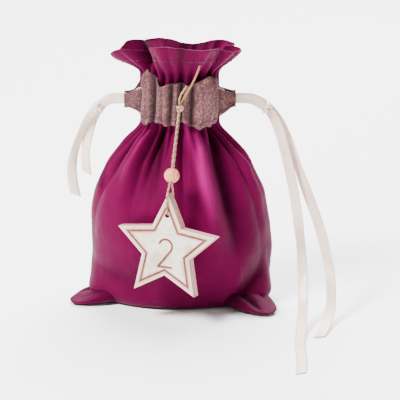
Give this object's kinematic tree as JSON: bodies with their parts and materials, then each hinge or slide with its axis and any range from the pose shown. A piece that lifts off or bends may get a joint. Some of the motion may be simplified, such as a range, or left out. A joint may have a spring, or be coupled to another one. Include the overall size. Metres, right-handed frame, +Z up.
{
  "type": "fabric gift sack",
  "caption": "Small standing drawstring gift sack of dyed cotton with a gathered neck, a woven casing, satin ribbon ties and a wooden star tag on twine.",
  "frame": {"origin": "middle of the base, on the surface that the sack stands on", "axes": "+Z up, -Y towards the front with the star tag, +X to the right seen from the front"},
  "size_m": [0.1594, 0.1611, 0.158],
  "materials": {
    "cloth": "smooth cotton",
    "casing_band": "coarse glitter weave",
    "satin_ribbon": "satin",
    "thread": "sewing thread",
    "twine": "twisted twine",
    "bead_wood": "waxed",
    "painted_wood": "matt paint with burnt lines"
  },
  "bodies": {
    "sack": {"back_panel": "cloth", "left_seam": "cloth", "right_seam": "cloth", "bottom_seam": "cloth", "left_corner": "cloth", "right_corner": "cloth", "back_casing": "casing_band", "lower_ribbon_back": "satin_ribbon", "upper_ribbon_back": "satin_ribbon", "back_casing_thread": "thread", "back_hem_thread": "thread"},
    "front": {"front_panel": "cloth", "front_casing": "casing_band", "lower_ribbon_front": "satin_ribbon", "upper_ribbon_front": "satin_ribbon", "front_casing_thread": "thread", "front_hem_thread": "thread", "twine_anchor": "twine", "twine_ends": "twine"},
    "left_ties": {"left_tie_front": "satin_ribbon", "left_tie_back": "satin_ribbon", "left_knot": "satin_ribbon"},
    "right_ties": {"right_tie_front": "satin_ribbon", "right_tie_back": "satin_ribbon", "right_knot": "satin_ribbon"},
    "tag_line": {"twine_knot": "twine", "twine_loop": "twine"},
    "bead": {"bead": "bead_wood"},
    "star": {"star_tag": "painted_wood"}
  },
  "joints": [
    {"name": "mouth_open", "type": "hinge", "parent": "sack", "child": "front", "pos_m": [0, -0.026, 0], "axis": [1, 0, 0], "range_deg": [0, 12]},
    {"name": "left_draw", "type": "slide", "parent": "sack", "child": "left_ties", "axis": [1, 0, 0], "range_m": [0, 0.0062]},
    {"name": "right_draw", "type": "slide", "parent": "sack", "child": "right_ties", "axis": [-1, 0, 0], "range_m": [0, 0.0062]},
    {"name": "tag_lift", "type": "hinge", "parent": "front", "child": "tag_line", "pos_m": [0, -0.0212, 0.1245], "axis": [-1, 0, 0], "range_deg": [0, 100]},
    {"name": "bead_slide", "type": "slide", "parent": "tag_line", "child": "bead", "axis": [0.1123, 0.431, 0.8953], "range_m": [0, 0.03]},
    {"name": "star_turn", "type": "hinge", "parent": "tag_line", "child": "star", "pos_m": [-0.006, -0.043, 0.066], "axis": [-0.3878, -0.9136, 0.1219], "range_deg": [-20, 20]}
  ],
  "couplings": [
    {"joint": "left_draw", "follows": "mouth_open", "m_per_rad": 0.02865},
    {"joint": "right_draw", "follows": "mouth_open", "m_per_rad": 0.02865}
  ]
}
